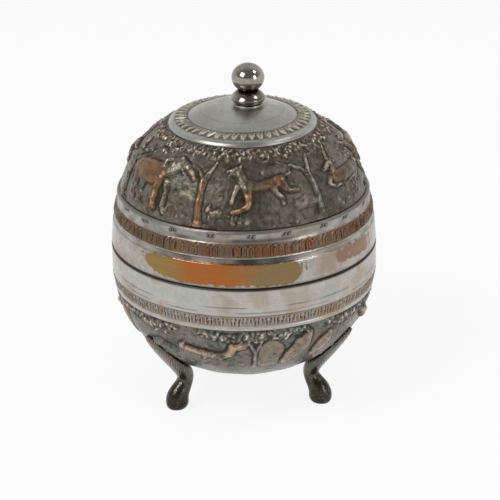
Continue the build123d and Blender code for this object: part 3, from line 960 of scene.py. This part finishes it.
def makeLidDome():
    settings = {
        "steps": 896,
        "flankRows": 46,
        "shoulderRows": 48,
        "ground": 0.045,
        "swell": 0.12,
        # painted shade on the front of the scene: from one azimuth to another, its soft edge, and how dark
        "paintedFrontShade": (-38, 60, 14, 0.6),
        # azimuth, level, size
        "hills": [
            (-31, 35.5, 1.0), (31, 33, 0.9), (80, 31, 1.0), (150, 31, 1.0),
            (203, 33, 1.0), (-62, 32, 0.8), (118, 36, 0.8),
        ],
        # azimuth, copper, lean, facing
        "trees": [
            (-21.5, 0.9, 0.2, 1), (38.5, 0.3, -1.6, 1), (84, 0.4, 0.4, 1), (122, 0.3, 0.4, -1),
            (159, 0.7, 0.2, 1), (200, 0.4, 0.4, -1), (238, 0.6, 0.3, 1), (284, 0.5, 0.4, -1),
        ],
        # figure, azimuth, level, facing, size
        "figures": [
            (elephant, -50.5, 39.6, 1, 1.0), (hare, -13.5, 31.0, 1, 1.0), (cat, 8.2, 42.6, 1, 1.0),
            (antelope, 60.0, 39.0, 1, 1.0), (cat, 103, 42.6, -1, 0.95), (hare, 112, 31.0, -1, 1.0),
            (antelope, 140, 39.0, -1, 1.0), (elephant, 181, 39.6, -1, 0.95), (cat, 219, 42.6, 1, 0.95),
            (hare, 232, 31.0, 1, 1.0), (antelope, 259, 39.0, -1, 1.0),
        ],
        # azimuth, level, half width, half height, leaves
        "clumps": [
            (-58, 49.0, 4.6, 2.2, 30), (-68, 46, 3.0, 2.4, 22), (52, 48.5, 4.0, 3.0, 34),
            (66, 30, 3.4, 3.0, 26), (75, 44, 3.0, 4.0, 26), (-78, 41, 3.4, 4.0, 26),
            (92, 47, 4.6, 2.6, 28), (128, 47.5, 4.4, 2.4, 26), (163, 47.5, 4.2, 2.4, 26),
            (202, 48, 4.2, 2.4, 26), (243, 47.8, 4.4, 2.4, 26),
        ],
        # azimuth, level, height of the spiky plants
        "plants": [
            (-2, 27.4, 4.6), (1.5, 27.0, 4.0), (-5.0, 26.8, 4.0), (-40, 27.5, 3.4),
            (53, 27.4, 4.6), (58, 28.4, 4.4), (70, 28.0, 5.4),
        ],
    }
    at, wall = lidAt, lidShape["wall"]
    skin = joined(
        arcPoints(at["dome"], at["shoulder"], lidShape["flankBulge"], settings["flankRows"]),
        arcPoints(at["shoulder"], at["step"], lidShape["shoulderBulge"], settings["shoulderRows"]),
    )
    foot = (at["dome"][0] - wall, at["dome"][1])
    shoulder, step = ((at[key][0] - wall, at[key][1] - wall) for key in ("shoulder", "step"))
    inner = joined(
        arcPoints(foot, shoulder, lidShape["flankBulge"], 6),
        arcPoints(shoulder, step, lidShape["shoulderBulge"], 6),
    )
    piece = turnSection("lidDome", skin, inner[::-1], settings["steps"])
    relief = newRelief(piece, skin, settings["steps"], 5)
    rng = random.Random(5)
    relief["height"] += settings["swell"] * cloudy(relief, 2, 26, 0.35)
    for azimuth, level, size in settings["hills"]:
        press(relief, hill, azimuth, level, 1, size, chase=0.06)
    for azimuth, copper, lean, facing in settings["trees"]:
        press(relief, makeTree(copper, lean), azimuth, 36.0, facing)
    for figure, azimuth, level, facing, size in settings["figures"]:
        press(relief, figure, azimuth, level, facing, size)
    # the tree tops, in a nearly closed band against the step
    for azimuth in around(rng, 4.5, 7):
        level, wide, tall = rng.uniform(50.0, 51.4), rng.uniform(2.4, 3.8), rng.uniform(1.3, 2.2)
        leafClump(relief, rng, azimuth, level, wide, tall, 16, 0.7, 0.4, 1.6)
    for azimuth, level, wide, tall, count in settings["clumps"]:
        leafClump(relief, rng, azimuth, level, wide, tall, count, 0.5)
    # grass along the foot of the scene
    for azimuth in around(rng, 2.5, 5):
        level, blades, tall = rng.uniform(25.0, 28.4), rng.choice((3, 4, 5)), rng.uniform(1.4, 3.2)
        grassTuft(relief, rng, azimuth, level, blades, tall)
    for azimuth, level, tall in settings["plants"]:
        grassTuft(relief, rng, azimuth, level, 6, tall, 0.6, 0.9)
    matGround(relief, 8, settings["ground"])
    # painted shade: the front of the scene is darkened, least on what stands out
    least, most, soft, dirtAndShade = settings["paintedFrontShade"]
    azimuth = relief["azimuth"]
    spread = np.clip((azimuth - least) / soft, 0, 1) * np.clip((most - azimuth) / soft, 0, 1)
    darken(relief, dirtAndShade * spread * np.clip(1.1 - relief["height"], 0.3, 1))
    stampRelief(relief, 1, 0.6)
    claim(piece, "lid", "lid", lidReliefMetal)


makeLidDome()
print("lid dome made")


def makeLidTop():
    settings = {"steps": 560, "leaves": 46, "leafLift": 0.5, "ringLine": 7.5}
    at, wall, flat = lidAt, lidShape["wall"], lidShape["flatRadius"]
    level = lidTop - lidShape["seatRise"]
    ringStart = (at["leaf"][0] - 0.25, at["leaf"][1] + 0.02)
    ringEnd = (at["disc"][0] + 0.4, at["disc"][1] - 0.05)
    discStart = (at["disc"][0] - 0.2, at["disc"][1] + 0.1)
    skin = joined(
        arcPoints(at["step"], at["leaf"], lidShape["stepBulge"], 12),
        linePoints(at["leaf"], ringStart, 0.3),
        linePoints(ringStart, ringEnd, 0.3),
        arcPoints(ringEnd, discStart, 0.12, 4),
        arcPoints(discStart, (flat, level), lidShape["discBulge"], 26),
        [(flat, level), (5.0, level), (0.0, level)],
    )
    inner = [
        (0.0, level - wall),
        (flat, level - wall),
        (at["disc"][0], at["disc"][1] - wall),
        (at["leaf"][0], at["leaf"][1] - wall),
        (at["step"][0] - wall, at["step"][1] - wall),
    ]
    piece = turnSection("lidTop", skin, inner, settings["steps"])
    relief = newRelief(piece, skin, settings["steps"], 3)
    rng = random.Random(3)
    middle = (at["leaf"][1] + at["disc"][1]) / 2
    for i in range(settings["leaves"]):
        spray = []
        for lean in (-1.0, -0.35, 0.4, 1.1):
            path = (0.2 * lean, -2.6, 0.42), (lean * 0.75, -0.4, 0.5), (lean * 1.15 + 0.5, 2.2, 0.3)
            rise, worn = settings["leafLift"] * rng.uniform(0.7, 1.2), rng.uniform(0, 0.5)
            spray.append(stroke(rise, *path, copper=worn, bright=1.0))
        press(relief, spray, 360 * i / settings["leaves"], middle)
    radius = relief["radius"][:, None]
    inRing = (radius < at["leaf"][0] - 0.3) & (radius > at["disc"][0] + 0.3)
    relief["height"] *= inRing
    relief["copper"] *= inRing
    between = 0.6 * np.clip(1 - relief["height"] / 0.25, 0, 1)
    relief["dark"] = np.maximum(relief["dark"] * 1.6, between) * inRing
    edges = at["leaf"][0] - 0.15, at["disc"][0] + 0.15, flat + settings["ringLine"]
    darken(relief, *[0.5 * np.exp(-(((radius - edge) / 0.16) ** 2)) for edge in edges])
    stampRelief(relief, 0)
    claim(piece, "lid", "lid", topMetal)


makeLidTop()
print("lid top made")


def makeKnobSeat():
    settings = {"steps": 96, "round": 0.25, "root": 0.6, "bore": 2.0}
    radius, rounding = lidShape["seatRadius"], settings["round"]
    low = lidTop - lidShape["seatRise"] - settings["root"]
    skin = joined(
        linePoints((radius, low), (radius, lidTop - rounding), 0.4),
        arcPoints((radius, lidTop - rounding), (radius - rounding, lidTop), rounding * 0.29, 4),
        linePoints((radius - rounding, lidTop), (settings["bore"], lidTop), 2.0),
    )
    piece = turnSection("knobSeat", skin, [(settings["bore"], low)], settings["steps"])
    piece.data.attributes.remove(piece.data.attributes["row"])
    piece.data.transform(Matrix.Translation((knobAxis * mm, 0, 0)))
    claim(piece, "lid", "lid", topMetal)


makeKnobSeat()
print("knob seat made")


def makeKnob():
    # ball on its neck with the stud below, and the flange under it, both with painted shade in the neck
    settings = {
        "steps": 96,
        "ballRadius": 7.0,
        "ballHalf": 6.2,
        "neckRadius": 4.2,
        "flangeFootRadius": 5.8,
        "flangeWidest": 2.5,
        "studRadius": 1.9,
        "studGap": 0.1,
        "hollow": 0.85,
        "neckShadeReach": 1.1,
    }
    ball, half, neck = settings["ballRadius"], settings["ballHalf"], settings["neckRadius"]
    stud, footRadius = settings["studRadius"], settings["flangeFootRadius"]
    foot, top = ((corner.z - seamLevel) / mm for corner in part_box("knob"))
    flangeFoot, neckFoot = ((corner.z - seamLevel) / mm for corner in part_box("knob_base"))
    turns = np.linspace(-math.acos(neck / ball), math.pi / 2, 40)[1:-1]
    ballLine = [(ball * math.cos(turn), top - half + half * math.sin(turn)) for turn in turns]
    knobLine = [(0.0, foot), (stud, foot), (stud, neckFoot), (neck, neckFoot), *ballLine, (0.0, top)]
    wide = (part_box("knob_base")[1].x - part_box("knob_base")[0].x) / 2 / mm
    widest = (wide, flangeFoot + settings["flangeWidest"])
    flangeLine = joined(
        [(stud + settings["studGap"], flangeFoot)],
        arcPoints((footRadius, flangeFoot), widest, 0.25, 8),
        arcPoints(widest, (neck, neckFoot), 0.35, 14),
    )
    for name, node, line in (("knobBall", "knob", knobLine), ("knobFlange", "knob_base", flangeLine)):
        piece = turnSection(name, line, [], settings["steps"])
        mesh = piece.data
        mesh.attributes.remove(mesh.attributes["row"])
        place = np.zeros(len(mesh.vertices) * 3, np.float32)
        mesh.vertices.foreach_get("co", place)
        level = (place[2::3] - seamLevel) / mm
        # painted shade where ball and flange meet the neck
        hollow = settings["hollow"] * np.exp(-(((level - neckFoot) / settings["neckShadeReach"]) ** 2))
        mesh.attributes.new("dark", "FLOAT", "POINT").data.foreach_set("value", hollow.astype(np.float32))
        mesh.transform(Matrix.Translation((knobAxis * mm, 0, 0)))
        claim(piece, "lid", node, knobMetal)


makeKnob()
print("knob made")


# Bowl: bands, belly and base

def latticeBorder(relief, rng, lowLevel, highLevel, count, lift):
    # narrow upright leaves, with a chevron over every third one
    half = (highLevel - lowLevel) / 2
    for i in range(count):
        lean = rng.uniform(-0.25, 0.25)
        strokes = [stroke(lift, (-lean, -half * 0.85, 0.3), (lean, half * 0.6, 0.34))]
        if i % 3 == 0:
            chevron = (-0.8, half * 0.1, 0.26), (0, half * 0.8, 0.3), (0.8, half * 0.1, 0.26)
            strokes.append(stroke(lift, *chevron))
        azimuth = 360 * (i + rng.uniform(-0.15, 0.15)) / count
        press(relief, strokes, azimuth, (lowLevel + highLevel) / 2, chase=0.06)


def makeBowlBands():
    settings = {"steps": 800, "leaves": 216, "leafLift": 0.3, "lineDepth": 0.08, "lines": (-8.3, -10.6)}
    wall, roll, mouth = bowlShape["wall"], bowlShape["rimRoll"], -bowlShape["mouthHeight"]
    beltTop, borderTop = bellyTop + bowlShape["beltHeight"], -bowlShape["bandHeight"]
    skin = joined(
        arcPoints((bellyRadius, bellyTop), (beltRadius, beltTop), bowlShape["beltBulge"], 10),
        linePoints((beltRadius, beltTop), (rimRadius, borderTop), 0.32),
        linePoints((rimRadius, borderTop), (rimRadius, -roll), 0.36),
        arcPoints((rimRadius, -roll), (rimRadius - roll, 0.0), roll * 0.29, 5),
    )
    inner = [
        (mouthRadius, 0.0),
        (mouthRadius, mouth),
        (rimRadius - wall, mouth),
        (rimRadius - wall, borderTop),
        (bellyRadius - wall, bellyTop),
    ]
    piece = turnSection("bowlBands", skin, inner, settings["steps"])
    relief = newRelief(piece, skin, settings["steps"], 21)
    rng = random.Random(21)
    latticeBorder(relief, rng, beltTop + 0.4, borderTop - 0.2, settings["leaves"], settings["leafLift"])
    level = relief["level"][:, None]
    relief["bright"][:] = 0.85 * ((level > beltTop + 0.3) & (level < borderTop + 0.05))
    for i, engraved in enumerate(settings["lines"]):
        kept = np.clip(0.5 + cloudy(relief, 30 + i, 18, 0.0), 0, 1)
        cut = np.exp(-(((level - engraved) / 0.22) ** 2)) * kept
        relief["height"] -= cut * settings["lineDepth"]
        darken(relief, cut * 0.8)
    # painted shade in the seam's rolled edge
    seamShade = np.clip((level + roll * 1.15) / 0.35, 0, 1)
    underBand = 0.6 * np.exp(-(((level - borderTop) / 0.2) ** 2))
    darken(relief, seamShade, underBand)
    relief["copper"] = 0.08 * cloudy(relief, 33, 14, 0.1)
    stampRelief(relief, 0)
    claim(piece, "canister", "bowl", bowlBandMetal)


makeBowlBands()
print("bowl bands made")


def makeBowlBelly():
    settings = {
        "steps": 832,
        "rows": 104,
        "ground": 0.05,
        "swell": 0.1,
        "figureLift": 1.4,
        # figure, azimuth, level, facing
        "figures": [
            (mound, 12.0, -32.5, 1), (mound, 160, -32, 1), (mound, 287, -31, 1),
            (hill, -42, -33, 1), (crocodile, -16, -32.6, 1), (leaf, 24.5, -31.5, 1),
            (smallLeaf, 38.0, -32.0, 1), (sapling, 4.5, -32.5, 1), (crocodile, 84, -32.6, -1),
            (sapling, 103, -33, 1), (leaf, 113, -31, 1), (crocodile, 132, -32.6, 1),
            (leaf, 196.5, -31, 1), (crocodile, 222, -32.6, -1), (sapling, 241, -33, 1),
            (crocodile, 262, -32.6, 1),
        ],
        # stretches without the hanging leaves
        "bare": [(-30, -19), (31, 42)],
        # azimuth, level, half width, half height, leaves
        "clumps": [(-42, -23.5, 7, 2.2, 44), (50, -24, 5, 2.6, 36), (2, -24.5, 5, 1.4, 24)],
    }
    wall = bowlShape["wall"]
    skin = ellipsePoints(bellyWidest, bellyDepth, baseAngle, topAngle, settings["rows"])
    inner = ellipsePoints(bellyWidest - wall, bellyDepth - wall, baseAngle, topAngle, 8)[::-1]
    piece = turnSection("bowlBelly", skin, inner, settings["steps"])
    relief = newRelief(piece, skin, settings["steps"], 8)
    rng = random.Random(8)
    relief["height"] += settings["swell"] * cloudy(relief, 12, 26, 0.35)
    for figure, azimuth, level, facing in settings["figures"]:
        press(relief, figure, azimuth, level, facing, lift=settings["figureLift"])
    for azimuth in around(rng, 4.5, 6.5):
        if not any(low < azimuth < high for low, high in settings["bare"]):
            level, wide, tall = rng.uniform(-23.4, -22.0), rng.uniform(2.6, 3.8), rng.uniform(1.3, 2.0)
            leafClump(relief, rng, azimuth, level, wide, tall, 30, 0.85, 0.15, 1.0)
    for azimuth, level, wide, tall, count in settings["clumps"]:
        leafClump(relief, rng, azimuth, level, wide, tall, count, 0.8)
    for azimuth in around(rng, 5, 9):
        level, blades, tall = rng.uniform(-43, -38.5), rng.choice((3, 4, 5)), rng.uniform(2.0, 3.4)
        grassTuft(relief, rng, azimuth, level, blades, tall, 0.55)
    matGround(relief, 18, settings["ground"])
    stampRelief(relief, 1, 0.6)
    claim(piece, "canister", "bowl", bowlReliefMetal)


makeBowlBelly()
print("bowl belly made")


def makeBowlBase():
    settings = {"steps": 240, "ripple": 0.05}
    wall = bowlShape["wall"]
    skin = ellipsePoints(bellyWidest, bellyDepth, -90, baseAngle, 22)
    inner = ellipsePoints(bellyWidest - wall, bellyDepth - wall, -90, baseAngle, 10)[::-1]
    skin[0] = (0.0, skin[0][1])
    inner[-1] = (0.0, inner[-1][1])
    piece = turnSection("bowlBase", skin, inner, settings["steps"])
    relief = newRelief(piece, skin, settings["steps"], 9)
    radius = relief["radius"][:, None]
    relief["height"] += np.sin(radius * 2.4) * np.clip(radius / 4, 0, 1) * settings["ripple"]
    relief["height"] *= np.clip(relief["along"][-1] - relief["along"][:, None], 0, 1)
    stampRelief(relief, 0)
    claim(piece, "canister", "bowl", bowlReliefMetal)


makeBowlBase()
print("bowl base made")


# Legs: smooth castings, each one flowing from the strap on the belly into knee, ankle and foot

def makeLegs():
    settings = {
        "azimuths": {"leg_left": -54.0, "leg_right": 62.0, "leg_back": 184.0},
        "sides": 28,
        "hugRadius": 60.0,
        "sunk": 1.1,
        # radius, level above the floor, half width, half thickness, rubbed
        "free": [
            (37.0, 0.0, 3.1, 3.3, 0.0), (37.1, 0.9, 4.3, 4.7, 0.0), (37.2, 2.8, 5.0, 5.3, 0.0),
            (37.0, 5.4, 4.9, 5.2, 0.0), (35.6, 8.2, 4.3, 4.4, 0.1), (33.2, 11.0, 3.6, 3.6, 0.3),
            (32.4, 13.6, 4.0, 3.4, 0.4), (33.0, 16.4, 5.3, 3.7, 0.5), (35.0, 19.6, 6.6, 3.7, 0.7),
        ],
        # angle on the belly, half width, half thickness, rubbed
        "strap": [
            (-48, 7.6, 3.0, 0.8), (-42, 7.7, 2.3, 0.9), (-36, 7.4, 1.8, 1.0),
            (-30.5, 6.2, 1.4, 1.0), (-26, 4.0, 1.1, 1.0), (-23, 1.4, 0.7, 1.0),
        ],
    }
    # the last number says whether a station hugs the belly
    stations = [(*station, 0) for station in settings["free"]]
    for degrees, wide, thick, rubbed in settings["strap"]:
        angle = math.radians(degrees)
        outwards = np.array([math.cos(angle) / bellyWidest, math.sin(angle) / bellyDepth])
        outwards /= np.linalg.norm(outwards)
        stand = max(0.6, thick - settings["sunk"])
        radius = bellyWidest * math.cos(angle) + outwards[0] * stand
        level = seamLevel / mm + bellyCentre + bellyDepth * math.sin(angle) + outwards[1] * stand
        stations.append((radius, level, wide, thick, rubbed, 1))
    way = np.gradient(np.array([station[:2] for station in stations]), axis=0)
    # the lowest ring lies flat on the floor
    way[0] = 0, 1
    for node, azimuth in settings["azimuths"].items():
        bm = bmesh.new()
        worn = bm.verts.layers.float.new("rubbed")
        loops = []
        for (radius, level, wide, thick, rubbed, hug), (out, up) in zip(stations, way):
            lean = math.atan2(out, up)
            place = Matrix.Translation((0, -radius * mm, level * mm)) @ Matrix.Rotation(lean, 4, "X")
            place @= Matrix.Diagonal((wide * mm, thick * mm, 1, 1))
            ring = bmesh.ops.create_circle(bm, segments=settings["sides"], radius=1, matrix=place)["verts"]
            inwards = Vector((0, math.cos(lean), math.sin(lean)))
            for v in ring:
                v[worn] = rubbed
                v.co += inwards * (hug * v.co.x**2 / (2 * settings["hugRadius"] * mm))
            loops.append(list({edge for v in ring for edge in v.link_edges}))
        for lower, upper in zip(loops, loops[1:]):
            bmesh.ops.bridge_loops(bm, edges=lower + upper)
        bmesh.ops.holes_fill(bm, edges=loops[0] + loops[-1])
        bmesh.ops.recalc_face_normals(bm, faces=bm.faces[:])
        turn = Matrix.Rotation(math.radians(azimuth), 3, "Z")
        bmesh.ops.rotate(bm, cent=(0, 0, 0), matrix=turn, verts=bm.verts[:])
        piece = finishMesh(node.replace("_", "Cast"), bm)
        smooth = piece.modifiers.new("smooth", "SUBSURF")
        smooth.levels = smooth.render_levels = 2
        claim(piece, "canister", node, castMetal)


makeLegs()
print("legs made")


# Pieces kept from the CAD: their finish

def dressNode(name, material):
    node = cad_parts[name]
    node.data.materials.clear()
    node.data.materials.append(material)
    for polygon in node.data.polygons:
        polygon.material_index = 0


dressNode("collar", innerMetal)
dressNode("knob_washer", brassMetal)
dressNode("knob_nut", brassMetal)
print("fittings dressed")


# Stage: white floor, pale room, lamps, and the camera at the photograph's angle

photo = {
    "size": 500.0,
    "focalPixels": 2114.6,
    "elevation": 23.0,
    "distance": 0.920,
    "roll": -0.7,
    "seamCentreX": 243.9,
    "seamCentreY": 235.6,
    "sensor": 36.0,
}
stageLook = {
    "floorSize": 6.0,
    "floorColour": (0.8, 0.8, 0.8, 1),
    "floorGlow": 0.88,
    "white": (1, 1, 1, 1),
    "roomFront": (0.24, 0.24, 0.225, 1),
    "roomBack": (0.82, 0.82, 0.80, 1),
    "fill": (0.55, 0.55, 0.55, 1),
}


def makeStage():
    # the floor shows white, straight and in metal, and still takes a soft shadow
    bm = bmesh.new()
    bmesh.ops.create_grid(bm, x_segments=1, y_segments=1, size=stageLook["floorSize"] / 2)
    floor = finishMesh("floor", bm)
    material, tree, shader = newMaterial("whiteFloor")
    shader.inputs["Base Color"].default_value = stageLook["floorColour"]
    shader.inputs["Roughness"].default_value = 0.9
    path = addNode(tree, "ShaderNodeLightPath").outputs
    seen = maths(tree, "MAXIMUM", path["Is Camera Ray"], path["Is Glossy Ray"])
    seen = maths(tree, "MAXIMUM", seen, path["Is Transmission Ray"])
    glow = addNode(tree, "ShaderNodeEmission", {0: stageLook["white"], 1: 1.0})
    share = times(tree, seen, stageLook["floorGlow"])
    mixed = addNode(tree, "ShaderNodeMixShader", {0: share, 1: shader.outputs[0], 2: glow.outputs[0]})
    tree.links.new(mixed.outputs[0], tree.nodes["Material Output"].inputs[0])
    floor.data.materials.append(material)


def makeWorld():
    # white backdrop, which metal sees too with the dimmer room above it, and plain fill light
    world = bpy.data.worlds.new("paleRoom")
    bpy.context.scene.world = world
    world.use_nodes = True
    tree = world.node_tree
    fill = tree.nodes["Background"]
    fill.inputs[0].default_value = stageLook["fill"]
    way = addNode(tree, "ShaderNodeTexCoord").outputs["Generated"]
    parts = addNode(tree, "ShaderNodeSeparateXYZ", {0: way}).outputs
    upper = blend(tree, mask(tree, parts[1], -0.3, 0.6), stageLook["roomFront"], stageLook["roomBack"])
    room = blend(tree, mask(tree, parts[2], 0.1, 0.35), stageLook["white"], upper)
    white = addNode(tree, "ShaderNodeBackground", {0: stageLook["white"], 1: 1.0})
    mirrored = addNode(tree, "ShaderNodeBackground", {0: room, 1: 1.0})
    path = addNode(tree, "ShaderNodeLightPath").outputs
    inMetal = maths(tree, "MAXIMUM", path["Is Glossy Ray"], path["Is Transmission Ray"])
    mixed = addNode(tree, "ShaderNodeMixShader", {0: inMetal, 1: fill.outputs[0], 2: mirrored.outputs[0]})
    inputs = {0: path["Is Camera Ray"], 1: mixed.outputs[0], 2: white.outputs[0]}
    mixed = addNode(tree, "ShaderNodeMixShader", inputs)
    tree.links.new(mixed.outputs[0], tree.nodes["World Output"].inputs[0])


def makeLamp(name, place, aim, wide, tall, power):
    light = bpy.data.lights.new(name, "AREA")
    light.shape = "RECTANGLE"
    light.size = wide
    light.size_y = tall
    light.energy = power
    lamp = bpy.data.objects.new(name, light)
    bpy.context.scene.collection.objects.link(lamp)
    lamp.location = place
    lamp.rotation_euler = (Vector(aim) - Vector(place)).to_track_quat("-Z", "Y").to_euler()


def makeCamera():
    data = bpy.data.cameras.new("camera")
    data.sensor_width = photo["sensor"]
    data.lens = photo["focalPixels"] / photo["size"] * photo["sensor"]
    data.shift_x = (photo["size"] / 2 - photo["seamCentreX"]) / photo["size"]
    data.shift_y = (photo["seamCentreY"] - photo["size"] / 2) / photo["size"]
    data.clip_start = 0.01
    data.clip_end = 50
    camera = bpy.data.objects.new("camera", data)
    bpy.context.scene.collection.objects.link(camera)
    tilt = math.radians(photo["elevation"])
    back = Vector((0, -math.cos(tilt), math.sin(tilt)))
    place = Matrix.Translation(Vector((0, 0, seamLevel)) + back * photo["distance"])
    turn = (-back).to_track_quat("-Z", "Y").to_matrix().to_4x4()
    camera.matrix_world = place @ turn @ Matrix.Rotation(math.radians(photo["roll"]), 4, "Z")
    bpy.context.scene.camera = camera


makeStage()
makeWorld()
makeLamp("keyLamp", (-0.55, -0.45, 0.75), (0, 0, 0.08), 0.4, 0.4, 5.0)
makeLamp("fillLamp", (0.75, -0.6, 0.45), (0, 0, 0.08), 0.3, 0.5, 2.0)
makeLamp("sideLamp", (0.62, -0.1, 0.95), (0, 0, 0.08), 0.25, 0.25, 1.6)
makeCamera()
bpy.context.scene.view_settings.view_transform = "Standard"
print("stage set")
